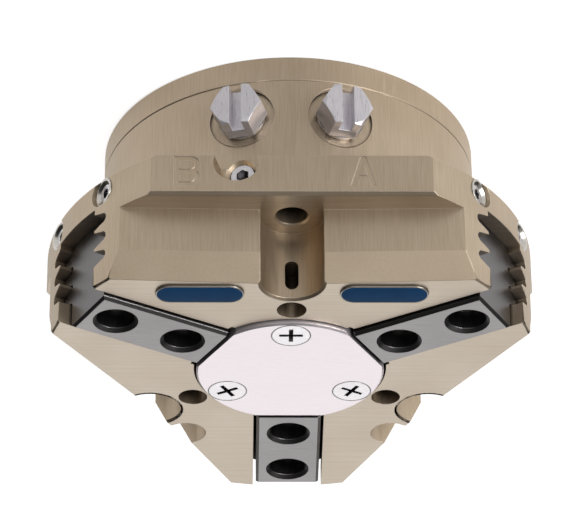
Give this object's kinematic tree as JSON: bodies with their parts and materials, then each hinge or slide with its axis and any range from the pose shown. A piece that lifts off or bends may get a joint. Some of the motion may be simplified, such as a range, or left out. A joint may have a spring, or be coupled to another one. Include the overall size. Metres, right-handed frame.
{
  "type": "three-jaw centric gripper",
  "caption": "Pneumatic centric gripper: a round drive drum carries a lobed head in which stepped steel jaws slide in toothed guides and open together by a wedge hook.",
  "frame": {"origin": "centre of the flat mounting face", "axes": "+Z towards the jaws, along the centring axis; -Y towards the flank with the two air ports; jaw 1 opens along +Y"},
  "size_m": [0.1028, 0.0951, 0.054],
  "materials": {
    "anodised_housing": "milled and hard anodised, champagne tan",
    "jaw_steel": "ground and nitrided, dark grey",
    "hardened_steel": "ground and hardened",
    "piston_aluminium": "turned",
    "plate_aluminium": "bright, fine random grain",
    "nickel_plug": "milled and nickel plated",
    "zinc_screw": "zinc plated",
    "bush_steel": "turned, bright",
    "black_screw": "black oxide",
    "seal_rubber": "matt black",
    "blue_badge": "plain blue enamel with a pale edge"
  },
  "bodies": {
    "housing": {"housing": "anodised_housing", "end_cover": "anodised_housing", "cover_seal": "seal_rubber", "cover_screws": "zinc_screw", "base_plugs": "black_screw", "rod_seal": "seal_rubber", "centre_plate": "plate_aluminium", "plate_screws": "zinc_screw", "port_plugs": "nickel_plug", "plug_washers": "zinc_screw", "throttle_screw": "zinc_screw", "lobe_bushes": "bush_steel", "lobe_screws": "zinc_screw", "badge_plates": "blue_badge"},
    "drive": {"piston": "piston_aluminium", "piston_seal": "seal_rubber", "piston_screw": "black_screw", "rod_o_ring": "seal_rubber", "wedge_hook": "hardened_steel"},
    "jaw_1": {"jaw_1": "jaw_steel"},
    "jaw_2": {"jaw_2": "jaw_steel"},
    "jaw_3": {"jaw_3": "jaw_steel"}
  },
  "joints": [
    {"name": "piston_slide", "type": "slide", "parent": "housing", "child": "drive", "axis": [0, 0, 1], "range_m": [0, 0.01]},
    {"name": "jaw_1_slide", "type": "slide", "parent": "housing", "child": "jaw_1", "axis": [0, 1, 0], "range_m": [0, 0.008]},
    {"name": "jaw_2_slide", "type": "slide", "parent": "housing", "child": "jaw_2", "axis": [-0.866, -0.5, 0], "range_m": [0, 0.008]},
    {"name": "jaw_3_slide", "type": "slide", "parent": "housing", "child": "jaw_3", "axis": [0.866, -0.5, 0], "range_m": [0, 0.008]}
  ],
  "couplings": [
    {"joint": "jaw_1_slide", "follows": "piston_slide", "ratio": 0.8},
    {"joint": "jaw_2_slide", "follows": "piston_slide", "ratio": 0.8},
    {"joint": "jaw_3_slide", "follows": "piston_slide", "ratio": 0.8}
  ]
}
